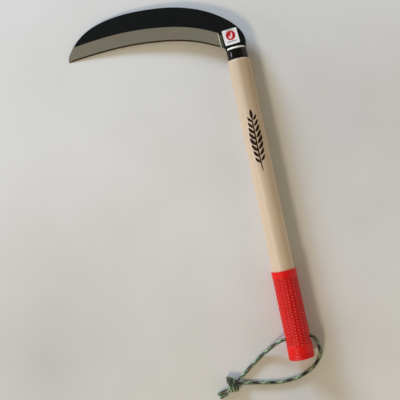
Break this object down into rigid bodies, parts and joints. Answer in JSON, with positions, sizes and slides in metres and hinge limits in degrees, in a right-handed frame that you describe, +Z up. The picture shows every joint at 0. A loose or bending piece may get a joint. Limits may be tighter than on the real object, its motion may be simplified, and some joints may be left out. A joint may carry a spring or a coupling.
{
  "type": "hand sickle",
  "caption": "Grass sickle with a curved single-bevel blade, black ferrule, round wooden handle, red rubber grip sleeve and a knotted cord lanyard.",
  "frame": {"origin": "centre of the box of the tool without its lanyard, on the surface it lies on", "axes": "+Y along the handle from the butt to the blade end, +X away from the blade's tip, +Z up from the surface; the tool lies on its grip, its wooden shoulder and the tip of its blade"},
  "size_m": [0.2201, 0.4662, 0.0304],
  "materials": {
    "wood": "pale, sanded, satin lacquer, with a burnt mark",
    "red_rubber": "satin, moulded pips and rings",
    "black_steel": "gloss black",
    "nail_steel": "bright drawn",
    "blade_steel": "black forge scale, ground grey bevel",
    "label_paper": "glossy printed sticker",
    "cord_fabric": "braided, camouflage pattern"
  },
  "bodies": {
    "root": {"handle": "wood", "grip_sleeve": "red_rubber", "ferrule": "black_steel", "tang_nail": "nail_steel", "blade": "blade_steel", "label": "label_paper", "lanyard_loop": "cord_fabric", "lanyard_knot": "cord_fabric", "lanyard_tail_1": "cord_fabric", "lanyard_tail_2": "cord_fabric"}
  },
  "joints": []
}
